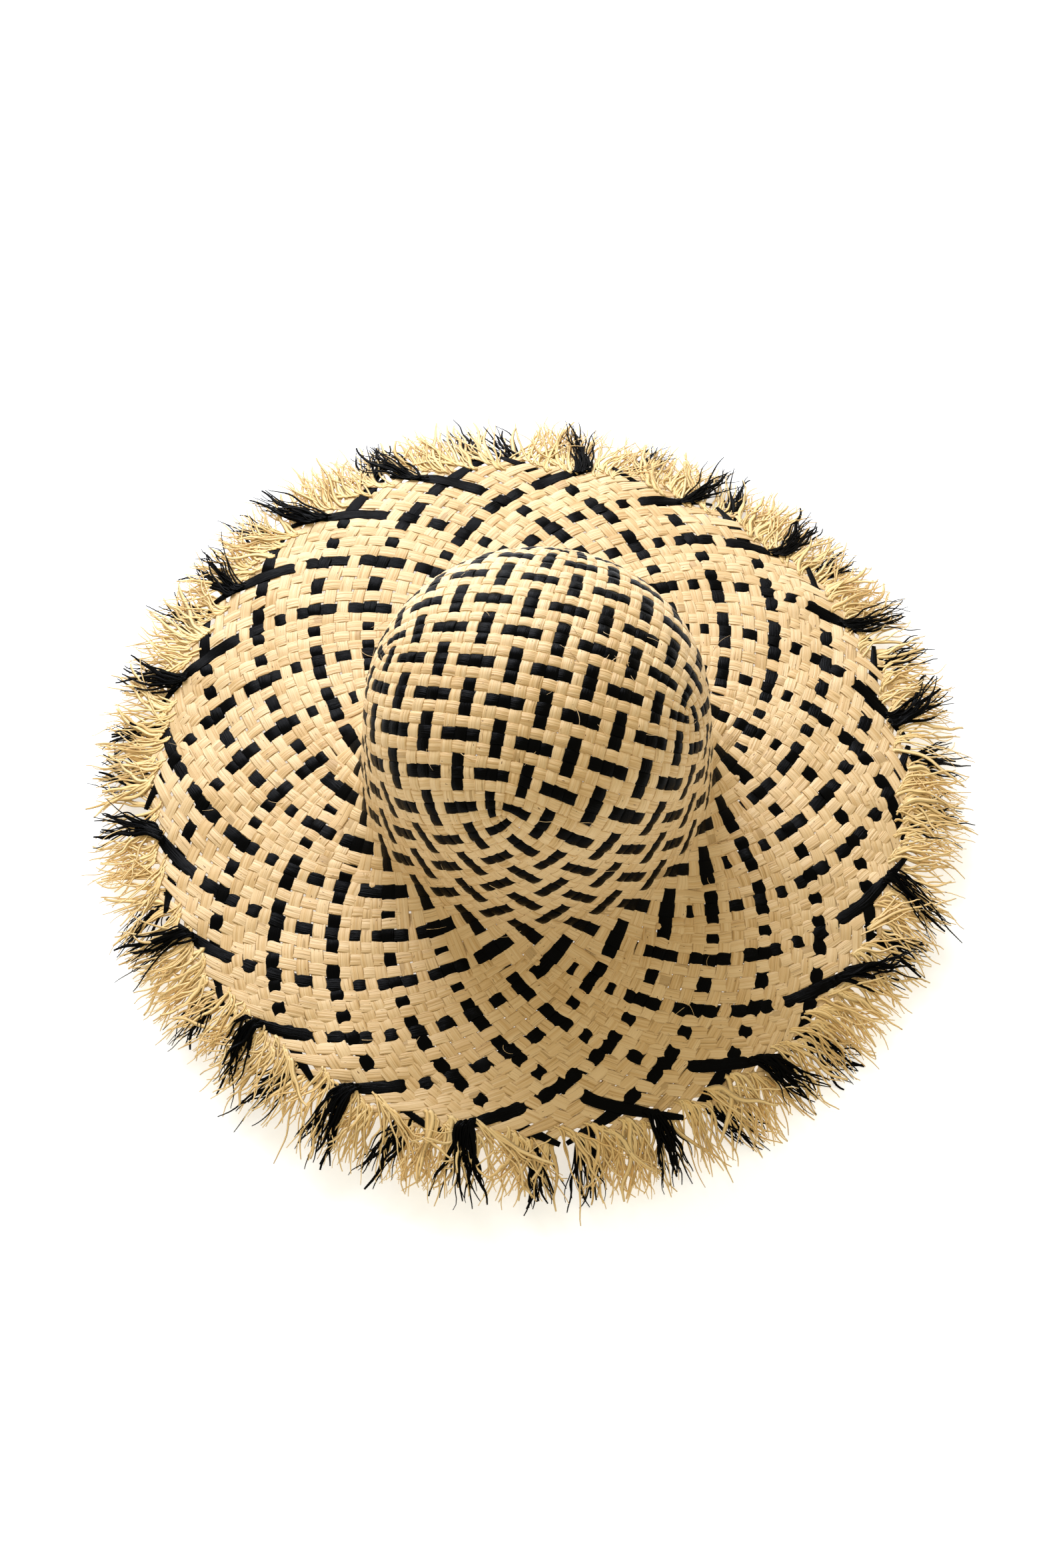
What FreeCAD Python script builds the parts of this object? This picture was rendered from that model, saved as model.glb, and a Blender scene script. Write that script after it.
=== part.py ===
"""Hand-woven raffia sun hat: deep rounded crown, wide gently waved brim, long fringe, black strands.

The cloth is one continuous plain weave of two strand families. Four weaving corners at the crown's
shoulder turn the flat square top into the round wall, and below them every strand runs as a spiral
down the wall and across the brim to its frayed end. Lengths are millimetres, angles degrees.
"""
import FreeCAD, Part
import Sketcher
import cmath
import math
import os

doc = FreeCAD.newDocument("raffia_hat")

# ---------------------------------------------------------------- driving dimensions
SIZES = {
    "cloth": 1.6,               # thickness of the woven cloth, two strands and their crimp
    "cap_radius": 130.0,        # meridian radius of the crown's shallow top
    "shoulder_radius": 50.0,    # meridian radius of the crown's shoulder
    "wall_taper": 4.6,          # lean of the crown wall from the vertical
    "wall_length": 66.0,        # straight part of the crown wall, measured down the slope
    "flare_radius": 20.0,       # meridian radius where the wall turns out into the brim
    "break_slope": 3.0,         # downward slope where the brim leaves the flare
    "brim_width": 91.5,         # from the flare to the last woven row, measured down the slope
    "rim_slope": 9.0,           # downward slope at the last woven row
    "rim_shift_x": -5.0,        # the rim's middle beside the crown's axis: the brim is wider at left
    "rim_shift_y": 6.0,         # and wider at the back
    "brim_gap": 0.2,            # clearance between crown, brim and fringe
    "wave_lobes": 3,            # low points of the waved brim
    "wave_height": 5.0,         # rise and fall of the wave at the rim
    "wave_turn": 303.0,         # direction of one low point, counted from +X
    "corner_turn": 257.0,       # direction of one weaving corner, counted from +X
    "crown_pitch": 6.55,        # spacing of the strands at the centre of the crown
    "rim_angle": 65.0,          # angle of the strands from the radial direction at the rim
    "strand_width": 6.0,        # width of a black strand
    "strand_thickness": 0.4,    # thickness of a black strand
    "strand_clearance": 0.3,    # gap between a black strand and the cloth below it
    "strand_lift": 0.8,         # extra height where one black strand crosses over another
    "fringe_band": 7.0,         # unsplit part of the fringe beside the last woven row
    "fringe_length": 41.0,      # whole length of the fringe, band and frayed ends
    "fringe_thickness": 0.5,    # thickness of one fringe layer
    "fringe_droop": 16.0,       # extra downward turn of the frayed ends
    "lock_count": 60,           # frayed locks in one fringe layer
    "cloth_columns": 60,        # flat columns round the crown and the brim
    "lock_variation": 0.10,     # share by which the locks differ in length
    "tuft_length": 38.0,        # frayed end of a black strand beyond the last woven row
    "tuft_width": 9.0,          # greatest width of a black tuft
    "tip_width": 3.0,           # width of a black tuft at its tip
    "band_radius": 90.4,        # inner radius of the sweatband, a 57 cm head
    "band_thickness": 0.8,      # grosgrain ribbon and its fold
    "band_height": 30.0,        # height of the sweatband
    "band_seat": 8.0,           # lower edge of the sweatband above the end of the flare
    "band_clearance": 0.35,     # room between the sweatband's upper edge and the crown wall
}
sheet = doc.addObject("Spreadsheet::Sheet", "Sizes")
for row, (alias, value) in enumerate(SIZES.items(), start=1):
    sheet.set(f"A{row}", alias)
    sheet.set(f"B{row}", str(value))
    sheet.setAlias(f"B{row}", alias)
doc.recompute()


def size(alias):
    """The sheet's value of one driving dimension."""
    return float(sheet.get(alias))


# The weave: each family crosses half the crown in HALF_STRANDS strands, every third one black, and
# the middle of the crown lies between two strands.
HALF_STRANDS = 15
BLACK_EVERY = 3
FIRST_BLACK = BLACK_EVERY / 2
WALL_ANGLE = 45          # angle of the strands from the radial direction on the wall
SPIRAL_GROWTH = 1.5      # power by which the strands' angle grows outwards over the brim
WAVE_GROWTH = 1.5        # power by which the brim's wave grows outwards
WAVE_LIMIT = 1.3         # greatest height of the wave, as a share of its height at the rim
FLARE_MARGIN = 1.0       # distance before the flare's end at which a path over the crown stops
LOCK_INSET = 0.22        # share of its width by which a frayed lock narrows on each side
LOCK_RHYTHM = 2.4        # turn of the sine that varies the locks, from one lock to the next
TUFT_BELLY = 0.6         # place of a black tuft's greatest width, as a share of its length
TUFT_SWING = (1.5, 2.0)  # sideways turn of the tuft at its belly and tip, in strand widths
CORNER_REACH = math.pi * math.sqrt(2.0) / 4.0     # image of the corner, integral of (1-x^4)^(-1/4)
STRAND_STEP = CORNER_REACH / HALF_STRANDS

taper = math.radians(size("wall_taper"))
break_slope = math.radians(size("break_slope"))
rim_slope = math.radians(size("rim_slope"))


# ---------------------------------------------------------------- the hat's meridian
class Meridian:
    """Middle surface of the cloth as tangent arcs and lines, with height 0 at the end of the flare.

    The crown is as wide as the head: its wall just clears the sweatband's upper edge.
    """

    def __init__(self):
        cap, shoulder, flare = size("cap_radius"), size("shoulder_radius"), size("flare_radius")
        wall_turn = math.pi / 2 - taper
        flare_turn = wall_turn - break_slope
        flare_height = flare * (math.cos(break_slope) - math.cos(wall_turn))
        band_top = size("band_seat") + size("band_height")
        wall_above_band = size("wall_length") - (band_top - flare_height) / math.sin(wall_turn)
        wall_radius = (size("band_radius") + size("band_thickness") + size("band_clearance")
                       + size("cloth") / 2 / math.sin(wall_turn))
        shoulder_centre = (wall_radius - wall_above_band * math.cos(wall_turn)
                           - shoulder * math.sin(wall_turn))
        self.cap_sweep = math.asin(shoulder_centre / (cap - shoulder))
        pieces = [("arc", cap, 0.0, self.cap_sweep), ("arc", shoulder, self.cap_sweep, wall_turn),
                  ("line", size("wall_length"), wall_turn, wall_turn),
                  ("arc", -flare, wall_turn, wall_turn - flare_turn)]
        brim_turn = rim_slope - break_slope
        pieces.append(("arc", size("brim_width") / brim_turn, break_slope, rim_slope))
        droop = math.radians(size("fringe_droop"))
        pieces.append(("arc", size("fringe_length") / droop, rim_slope, rim_slope + droop))
        self.pieces = []
        start, radius, height = 0.0, 0.0, 0.0
        for kind, measure, first, last in pieces:
            length = measure if kind == "line" else measure * (last - first)
            self.pieces.append((start, start + length, kind, measure, first, radius, height))
            radius, height = self._step(kind, measure, first, length, radius, height)
            start += length
        self.marks = [piece[1] for piece in self.pieces]
        self.flare_end, self.rim, self.tip = self.marks[3], self.marks[4], self.marks[5]
        self.drop = self._place(self.flare_end)[1]

    @staticmethod
    def _step(kind, measure, slope, length, radius, height):
        if kind == "line":
            return radius + length * math.cos(slope), height - length * math.sin(slope)
        last = slope + length / measure
        return (radius + measure * (math.sin(last) - math.sin(slope)),
                height - measure * (math.cos(slope) - math.cos(last)))

    def _piece(self, along):
        for piece in self.pieces:
            if along <= piece[1]:
                return piece
        return self.pieces[-1]

    def _place(self, along):
        start, _, kind, measure, slope, radius, height = self._piece(along)
        return self._step(kind, measure, slope, along - start, radius, height)

    def radius(self, along):
        return self._place(along)[0]

    def height(self, along):
        return self._place(along)[1] - self.drop

    def slope(self, along):
        start, _, kind, measure, slope, _, _ = self._piece(along)
        return slope if kind == "line" else slope + (along - start) / measure


meridian = Meridian()
wave_lobes = int(size("wave_lobes"))


def wave(along, turn):
    """Height of the brim's wave: nothing at the flare, full at the rim, a little more in the fringe."""
    share = max(0.0, along - meridian.flare_end) / size("brim_width")
    phase = wave_lobes * (turn - math.radians(size("wave_turn")))
    return -size("wave_height") * min(share ** WAVE_GROWTH, WAVE_LIMIT) * math.cos(phase)


def surface(along, turn, above=0.0):
    """Point at a distance along the meridian and a turn about the axis, offset out of the cloth.

    Across the brim the middle of the circle moves steadily from the crown's axis to the rim's middle.
    """
    radius, slope = meridian.radius(along), meridian.slope(along)
    reach = radius + above * math.sin(slope)
    up = above * math.cos(slope) + wave(along, turn)
    share = min(1.0, max(0.0, along - meridian.flare_end) / size("brim_width"))
    return FreeCAD.Vector(reach * math.cos(turn) + share * size("rim_shift_x"),
                          reach * math.sin(turn) + share * size("rim_shift_y"),
                          meridian.height(along) + up)


def normal(along, turn):
    """Outward unit normal of the waved surface, from its two tangents."""
    small, small_turn = 0.05, 0.0005
    down = surface(along + small, turn) - surface(along - small, turn)
    across = surface(along, turn + small_turn) - surface(along, turn - small_turn)
    return down.cross(across).normalize()


# ---------------------------------------------------------------- strand paths
class StretchTable:
    """Conformal radius of the crown: log|w| grows as the integral of d(along)/radius."""

    START, STEP = 4.0, 0.25

    def __init__(self):
        scale = CORNER_REACH / (HALF_STRANDS * size("crown_pitch"))
        self.along, self.log = [self.START], [math.log(scale * meridian.radius(self.START))]
        while self.along[-1] < meridian.flare_end:
            here = self.along[-1]
            middle = meridian.radius(here + self.STEP / 2)
            self.along.append(here + self.STEP)
            self.log.append(self.log[-1] + self.STEP / middle)

    def distance(self, modulus):
        """Distance along the meridian of a point of the weaving plane, by its modulus."""
        value = math.log(max(modulus, 1e-9))
        if value <= self.log[0]:
            return self.along[0] * math.exp(value - self.log[0])
        low, high = 0, len(self.log) - 1
        while high - low > 1:
            middle = (low + high) // 2
            if self.log[middle] > value:
                high = middle
            else:
                low = middle
        share = (value - self.log[low]) / (self.log[high] - self.log[low])
        return self.along[low] + share * (self.along[high] - self.along[low])


stretch = StretchTable()


def axis_crossing(index):
    """Where strand number index meets the axis: x with integral of (1-x^4)^(-1/4) = its share."""
    target, x, total, step = abs(index) * STRAND_STEP, 0.0, 0.0, 1e-4
    while total < target and x < 1.0 - step:
        total += step * (1.0 - (x + step / 2) ** 4) ** -0.25
        x += step
    return math.copysign(x, index)


def branch(point, last):
    """The fourth root (1-w^4)^(1/4) that continues the last one."""
    root = (1.0 - point ** 4) ** 0.25
    return min((root * turn for turn in (1, 1j, -1, -1j)), key=lambda value: abs(value - last))


def strand_half(index, family, sense):
    """Plane points of half a strand at every crossing, from its axis outward to the flare's end.

    Family a starts on the real axis and runs along the imaginary one, b the other way about.
    """
    point = complex(axis_crossing(index), 0) if family == "a" else complex(0, axis_crossing(index))
    heading = sense * (1j if family == "a" else 1)
    root, substeps = 1 + 0j, 12
    step = STRAND_STEP / 2 / substeps
    points = [point]
    while stretch.distance(abs(point)) < meridian.flare_end - FLARE_MARGIN:
        for _ in range(substeps):
            first = branch(point, root)
            second = branch(point + heading * first * step / 2, first)
            point += heading * second * step
            root = branch(point, second)
        points.append(point)
    return points


def spiral_angle(radius):
    """Angle of a strand from the radial direction on the brim: 45 at the wall, steeper at the rim."""
    start = meridian.radius(meridian.flare_end)
    share = (radius - start) / (meridian.radius(meridian.rim) - start)
    growth = max(0.0, share) ** SPIRAL_GROWTH
    return math.radians(WALL_ANGLE + (size("rim_angle") - WALL_ANGLE) * growth)


class Spiral:
    """Turn of a brim strand about the axis against the distance from the end of the flare."""

    def __init__(self, count=80):
        self.along, self.turn = [meridian.flare_end], [0.0]
        step = (meridian.rim - meridian.flare_end) / count
        for _ in range(count):
            middle = meridian.radius(self.along[-1] + step / 2)
            self.turn.append(self.turn[-1] + step * math.tan(spiral_angle(middle)) / middle)
            self.along.append(self.along[-1] + step)

    @staticmethod
    def _read(xs, ys, x):
        for k in range(1, len(xs)):
            if x <= xs[k]:
                share = (x - xs[k - 1]) / (xs[k] - xs[k - 1])
                return ys[k - 1] + share * (ys[k] - ys[k - 1])
        return ys[-1]

    def turn_at(self, along):
        return self._read(self.along, self.turn, along)

    def along_at(self, turn):
        return self._read(self.turn, self.along, turn)


spiral = Spiral()
corner_turn = math.radians(size("corner_turn"))


class StrandEnd:
    """One end of a black strand: its crown stations and the spiral that carries it to the rim."""

    def __init__(self, index, family, sense):
        points = strand_half(index, family, sense)
        self.index, self.family, self.sense = index, family, sense
        self.stations = []
        for number, point in enumerate(points[1:], start=1):
            along = stretch.distance(abs(point))
            self.stations.append((number / 2.0, along, cmath.phase(point) + corner_turn))
        self.hand = 1 if (points[-1] / points[-2]).imag > 0 else -1
        _, along, turn = self.stations[-1]
        self.turn = turn - self.hand * (along - meridian.flare_end) / meridian.radius(along)


black_indices = [sign * (FIRST_BLACK + BLACK_EVERY * k) for sign in (-1, 1) for k in range(5)]
ends = {}
for family in "ab":
    for index in black_indices:
        for sense in (1, -1):
            ends[family, index, sense] = StrandEnd(index, family, sense)


def brim_crossings(end):
    """Distances along the brim at which this end meets the black ends of the other hand."""
    found = []
    for other in ends.values():
        if other.hand != end.hand:
            gap = (end.hand * (other.turn - end.turn)) % (2 * math.pi) / 2
            if gap < spiral.turn[-1]:
                found.append(spiral.along_at(gap))
    return sorted(found)


def bends_sharply(along):
    """True on the shoulder and the flare, where a strand needs stations between its crossings."""
    cap_end, shoulder_end, wall_end = meridian.marks[:3]
    margin = size("strand_width")
    return cap_end - margin < along < shoulder_end + margin or along > wall_end - margin


def end_stations(end):
    """Stations (along, turn, level) of one end: level 1 where it lies over, 0 where it lies under."""
    raised = (end.index + end.sense * FIRST_BLACK) % 2 == (0 if end.family == "a" else 1)
    stations, crossing_step = [], FIRST_BLACK
    clear = size("strand_width") / 2
    for step, along, turn in end.stations:
        if along > meridian.flare_end - 2 * FLARE_MARGIN:
            break
        if step == crossing_step:
            stations.append((along, turn, 1.0 if raised else 0.0))
            raised, crossing_step = not raised, crossing_step + BLACK_EVERY
        elif step == crossing_step - BLACK_EVERY / 2 and bends_sharply(along):
            stations.append((along, turn, 0.5))
    for along in brim_crossings(end):
        if stations[-1][0] + clear < along < meridian.rim - clear:
            turn = end.turn + end.hand * spiral.turn_at(along)
            stations.append((along, turn, 1.0 if raised else 0.0))
            raised = not raised
    return stations


# ---------------------------------------------------------------- crown and brim cloth
def crown_stations():
    """Chord ends along the crown's meridian: few on the shallow cap, more on shoulder and flare."""
    counts, stations, start = (3, 3, 1, 3), [0.0], 0.0
    for count, last in zip(counts, meridian.marks):
        stations += [start + (last - start) * (k + 1) / count for k in range(count)]
        start = last
    return stations


def facets(a, b, c, d):
    """Flat triangles that fill the patch a b c d, split from a to c; one where two corners meet."""
    triangles = [corners for corners in ((a, b, c), (a, c, d))
                 if min((p - q).Length for p, q in zip(corners, corners[1:] + corners[:1])) > 0]
    return [Part.Face(Part.makePolygon([*corners, corners[0]])) for corners in triangles]


def add_faceted(name, faces):
    """Sew flat patches into one closed solid and keep it as a document object."""
    shell = Part.makeShell(faces)
    shell.sewShape()
    solid = Part.makeSolid(shell)
    if solid.Volume < 0:
        solid.reverse()
    feature = doc.addObject("Part::Feature", name)
    feature.Shape = solid
    return feature


def add_cloth(name, stations):
    """A shell of cloth between rings at the given stations, its two faces offset from the surface.

    A first station on the axis closes the shell there; otherwise it has an edge at both ends.
    """
    count = int(size("cloth_columns"))
    half, pitch = size("cloth") / 2, 2 * math.pi / count
    rings = [[[surface(along, n * pitch, side) for n in range(count + 1)] for side in (half, -half)]
             for along in stations]
    closed_at_apex = stations[0] == 0.0
    edges = [rings[-1]] if closed_at_apex else [rings[0], rings[-1]]
    faces = []
    for n in range(count):
        for inner, outer in zip(rings, rings[1:]):
            for side in (0, 1):
                faces += facets(outer[side][n], outer[side][n + 1], inner[side][n + 1], inner[side][n])
        for edge in edges:
            faces += facets(edge[0][n], edge[1][n], edge[1][n + 1], edge[0][n + 1])
    return add_faceted(name, faces)


def add_brim():
    """The waved brim, from the flare to the last woven row."""
    first, last, bands = meridian.flare_end + size("brim_gap"), meridian.rim, 4
    return add_cloth("brim_cloth", [first + (last - first) * k / bands for k in range(bands + 1)])


# ---------------------------------------------------------------- black strands
def tuft_stations(end):
    """Turn from the spiral to straight out across the last rows, then a spreading, tapering tuft."""
    rim, reach = meridian.rim, size("tuft_length")
    start = end.turn + end.hand * spiral.turn_at(rim)
    swing = end.hand * size("strand_width") / meridian.radius(rim)
    level = 1.0 if end.hand > 0 else 0.0
    belly_swing, tip_swing = TUFT_SWING
    return [(rim, start, level, size("strand_width")),
            (rim + TUFT_BELLY * reach, start + belly_swing * swing, level, size("tuft_width")),
            (rim + reach, start + tip_swing * swing, level, size("tip_width"))]


def add_black_strand(family, index, name):
    """One black strand, rim to rim over the crown, lying over and under the other black strands."""
    base = size("cloth") / 2 + size("strand_clearance") + size("strand_thickness") / 2
    run = []
    for sense in (-1, 1):
        end = ends[family, index, sense]
        half = [(along, turn, level, size("strand_width")) for along, turn, level in end_stations(end)]
        half += tuft_stations(end)
        run += reversed(half) if sense < 0 else half
    outs = [normal(along, turn) for along, turn, _, _ in run]
    centres = [surface(along, turn) + out * (base + level * size("strand_lift"))
               for (along, turn, level, _), out in zip(run, outs)]
    bars = []
    for k, centre in enumerate(centres):
        heading = (centres[min(k + 1, len(run) - 1)] - centres[max(k - 1, 0)]).normalize()
        side = outs[k].cross(heading).normalize() * (run[k][3] / 2)
        rise = outs[k] * (size("strand_thickness") / 2)
        bars.append([centre - side - rise, centre + side - rise, centre + side + rise,
                     centre - side + rise])
    # The lower and the upper face are split along the same diagonal, so the ribbon keeps its
    # thickness where it twists.
    faces = facets(*bars[0]) + facets(*bars[-1])
    for near, far in zip(bars, bars[1:]):
        faces += facets(near[0], near[1], far[1], far[0]) + facets(near[3], near[2], far[2], far[3])
        faces += facets(near[1], near[2], far[2], far[1]) + facets(near[0], near[3], far[3], far[0])
    return add_faceted(name, faces)


# ---------------------------------------------------------------- fringe
def add_fringe(name, layer, shift):
    """One layer of the fringe: an unsplit band beside the rim and tapering locks beyond it."""
    count, thickness = int(size("lock_count")), size("fringe_thickness")
    per_quarter = count // 4
    pitch = 2 * math.pi / count
    root, valley = meridian.rim + size("brim_gap"), meridian.rim + size("fringe_band")
    middle = layer * (size("cloth") + size("brim_gap")) / 4
    levels = (middle + thickness / 2, middle - thickness / 2)

    def at(along, turn):
        return [surface(along, turn, level) for level in levels]

    faces = []
    for lock in range(count):
        first, last = (lock + shift) * pitch, (lock + 1 + shift) * pitch
        vary = 1.0 + size("lock_variation") * math.sin(LOCK_RHYTHM * (lock % per_quarter) + layer)
        tip = meridian.rim + size("fringe_length") * vary / (1.0 + size("lock_variation"))
        roots, valleys = (at(root, first), at(root, last)), (at(valley, first), at(valley, last))
        tips = (at(tip, first + LOCK_INSET * pitch), at(tip, last - LOCK_INSET * pitch))
        for face in (0, 1):
            faces += facets(roots[0][face], valleys[0][face], valleys[1][face], roots[1][face])
            faces += facets(valleys[0][face], tips[0][face], tips[1][face], valleys[1][face])
        for a, b in ((roots[0], roots[1]), (valleys[0], tips[0]), (tips[0], tips[1]),
                     (tips[1], valleys[1])):
            faces += facets(a[0], b[0], b[1], a[1])
    return add_faceted(name, faces)


# ---------------------------------------------------------------- sweatband
def add_sweatband():
    """Ribbon sewn inside the foot of the crown wall: a thin true cylinder of the head's size."""
    body = doc.addObject("PartDesign::Body", "sweatband")
    sketch = body.newObject("Sketcher::SketchObject", "BandSection")
    plane = [item for item in body.Origin.OriginFeatures if item.Role == "XY_Plane"][0]
    sketch.AttachmentSupport = [(plane, "")]
    sketch.MapMode = "FlatFace"
    sketch.setExpression("AttachmentOffset.Base.z", "Sizes.band_seat * 1 mm")
    constrain, centre, upward = Sketcher.Constraint, FreeCAD.Vector(0, 0, 0), FreeCAD.Vector(0, 0, 1)
    rims = (("InnerRadius", size("band_radius"), "Sizes.band_radius * 1 mm"),
            ("OuterRadius", size("band_radius") + size("band_thickness"),
             "(Sizes.band_radius + Sizes.band_thickness) * 1 mm"))
    for name, radius, expression in rims:
        circle = sketch.addGeometry(Part.Circle(centre, upward, radius), False)
        sketch.addConstraint(constrain("Coincident", circle, 3, -1, 1))
        sketch.renameConstraint(sketch.addConstraint(constrain("Radius", circle, radius)), name)
        sketch.setExpression(f"Constraints.{name}", expression)
    pad = body.newObject("PartDesign::Pad", "BandHeight")
    pad.Profile = sketch
    pad.setExpression("Length", "Sizes.band_height * 1 mm")
    return body


# ---------------------------------------------------------------- the whole hat
pieces = [add_cloth("crown_cloth", crown_stations()), add_brim()]
for family in "ab":
    for number, index in enumerate(black_indices, start=1):
        pieces.append(add_black_strand(family, index, f"black_strand_{family}{number:02d}"))
pieces.append(add_fringe("fringe_upper", 1, 0.0))
pieces.append(add_fringe("fringe_lower", -1, 0.5))
pieces.append(add_sweatband())
doc.recompute()

# The hat stands on the lowest tips of its fringe with the middle of its outline over the origin, so
# every piece is moved by the same vector.
lift = -min(piece.Shape.BoundBox.ZMin for piece in pieces if piece.Name.startswith("fringe"))
seat = FreeCAD.Vector(-size("rim_shift_x"), -size("rim_shift_y"), lift)
for piece in pieces:
    piece.Label = piece.Name
    piece.Placement.Base = seat
doc.recompute()

for item in doc.Objects:
    if "Invalid" in item.State or "Error" in item.State:
        raise RuntimeError(f"{item.Name} failed: {item.State}")
os.makedirs("parts", exist_ok=True)
for piece in pieces:
    if piece.Shape.isNull() or not piece.Shape.isValid():
        raise RuntimeError(f"{piece.Label} has no valid shape")
    piece.Shape.exportStep(f"parts/{piece.Label}.step")
    print(piece.Label, round(piece.Shape.Volume, 1), len(piece.Shape.Faces))
print("the crown's axis and the height of the flare's end:", [round(value, 3) for value in seat])
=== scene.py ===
"""Hand-woven raffia sun hat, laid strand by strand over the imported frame.

Sizes are millimetres and angles degrees until a mesh is made; meshes are metres. A place on the hat is
(along, turn): the distance from the crown's top down the meridian, and the angle about the axis.
"""
import math

import bpy
import numpy as np
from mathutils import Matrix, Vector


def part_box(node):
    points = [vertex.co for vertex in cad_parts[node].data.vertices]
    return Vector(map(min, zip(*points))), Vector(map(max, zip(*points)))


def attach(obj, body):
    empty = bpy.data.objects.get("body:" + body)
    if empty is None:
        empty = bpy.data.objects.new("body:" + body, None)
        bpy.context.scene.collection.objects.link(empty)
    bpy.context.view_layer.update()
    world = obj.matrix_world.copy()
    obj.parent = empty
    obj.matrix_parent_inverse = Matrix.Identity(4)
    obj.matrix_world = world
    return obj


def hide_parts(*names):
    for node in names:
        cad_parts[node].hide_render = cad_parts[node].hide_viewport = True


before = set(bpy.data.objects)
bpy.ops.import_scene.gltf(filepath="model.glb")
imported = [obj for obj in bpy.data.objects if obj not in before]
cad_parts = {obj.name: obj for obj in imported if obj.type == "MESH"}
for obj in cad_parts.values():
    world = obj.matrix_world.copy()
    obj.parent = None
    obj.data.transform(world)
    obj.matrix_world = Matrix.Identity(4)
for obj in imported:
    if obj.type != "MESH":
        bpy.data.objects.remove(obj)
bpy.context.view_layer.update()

rng = np.random.default_rng(20)

# ---------------------------------------------------------------------------------------- camera
# Looks down on the front of the hat from head height, as one looks at a hat on a low table.
# The lens and both shifts are in heights of the frame.
CAMERA_ELEVATION, CAMERA_DISTANCE = 63.3, 1.4
IMAGE_HEIGHT, SENSOR_HEIGHT = 2352, 36.0
LENS, SHIFT_X, SHIFT_Y = 3850.0 / IMAGE_HEIGHT, -22 / IMAGE_HEIGHT, -8 / IMAGE_HEIGHT
AIM = np.array([0.005, -0.006, 0.0286])

lift_angle = math.radians(CAMERA_ELEVATION)
camera = bpy.data.objects.new("camera", bpy.data.cameras.new("camera"))
bpy.context.scene.collection.objects.link(camera)
camera.location = AIM + CAMERA_DISTANCE * np.array([0.0, -math.cos(lift_angle), math.sin(lift_angle)])
camera.rotation_euler = (math.pi / 2 - lift_angle, 0.0, 0.0)
camera.data.sensor_fit = "VERTICAL"
camera.data.sensor_height = SENSOR_HEIGHT
camera.data.lens = SENSOR_HEIGHT * LENS
camera.data.shift_x, camera.data.shift_y = SHIFT_X, SHIFT_Y
bpy.context.scene.camera = camera

# ---------------------------------------------------------------------------- the woven cloth's form
# The cloth is woven in one piece over a block: a shallow cap, a round shoulder, a straight wall that
# flares out without a band, and a wide brim that droops a little, rises and falls in three waves and
# is a little wider at the back and the left. The middle of the rim lies over the origin.
CLOTH = 1.6
CAP_RADIUS, SHOULDER_RADIUS, FLARE_RADIUS = 130.0, 50.0, 20.0
SHOULDER_CENTRE, WALL_TAPER, WALL_LENGTH = 38.8, 4.6, 66.0
BREAK_SLOPE, RIM_SLOPE, BRIM_WIDTH = 3.0, 9.0, 91.5
FRINGE_LENGTH, FRINGE_DROOP = 41.0, 16.0
RIM_SHIFT = np.array([-5.0, 6.0])
WAVE_LOBES, WAVE_HEIGHT, WAVE_TURN = 3, 5.0, math.radians(303.0)
WAVE_GROWTH, WAVE_LIMIT = 1.5, 1.3
CROWN_DENTS, BRIM_DENTS, DENT_LIMIT = 0.35, 1.2, 1.2
MARGIN = 30.0

cap_sweep = math.asin(SHOULDER_CENTRE / (CAP_RADIUS - SHOULDER_RADIUS))
wall_slope = math.radians(90.0 - WALL_TAPER)
break_slope, rim_slope = math.radians(BREAK_SLOPE), math.radians(RIM_SLOPE)
knot_slopes = [0.0, cap_sweep, wall_slope, wall_slope, break_slope, rim_slope,
               rim_slope + math.radians(FRINGE_DROOP)]
knot_lengths = [CAP_RADIUS * cap_sweep, SHOULDER_RADIUS * (wall_slope - cap_sweep), WALL_LENGTH,
                FLARE_RADIUS * (wall_slope - break_slope), BRIM_WIDTH, FRINGE_LENGTH]
knots = np.concatenate([[0.0], np.cumsum(knot_lengths)])
SHOULDER_END, WALL_END, FLARE_END, RIM, TIP = knots[2:]


def running_integral(values, places):
    """Integral of values over places from the first place on, by the trapezium rule."""
    steps = np.diff(places) * (values[1:] + values[:-1]) / 2
    return np.concatenate([[0.0], np.cumsum(steps)])


stations = np.linspace(0.0, TIP + MARGIN, 8001)
slopes = np.interp(stations, knots, knot_slopes)
radii = running_integral(np.cos(slopes), stations)
drops = running_integral(np.sin(slopes), stations)
apex_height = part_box("crown_cloth")[1].z * 1000 - CLOTH / 2


def radius_at(along):
    """Distance from the axis: the integral of the cosine of the meridian's slope."""
    return np.interp(along, stations, radii)


def relief(along, turn):
    """Height added to the round form: the brim's wave and the soft dents of a hand-shaped hat.

    The wave is a cosine of the turn that grows with a power of the share of the brim. The dents are two
    products of sines of x and y, with lengths of 11 to 23 mm, and grow outwards on the brim.
    """
    share = np.maximum(along - FLARE_END, 0.0) / BRIM_WIDTH
    wave = (-WAVE_HEIGHT * np.minimum(share ** WAVE_GROWTH, WAVE_LIMIT)
            * np.cos(WAVE_LOBES * (turn - WAVE_TURN)))
    x, y = along * np.cos(turn), along * np.sin(turn)
    dents = (np.sin(x / 23 + 1.0) * np.sin(y / 19 + 2.0)
             + 0.6 * np.sin((x + y) / 11) * np.sin((x - y) / 13))
    return wave + dents * (CROWN_DENTS + BRIM_DENTS * np.minimum(share, DENT_LIMIT))


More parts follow.
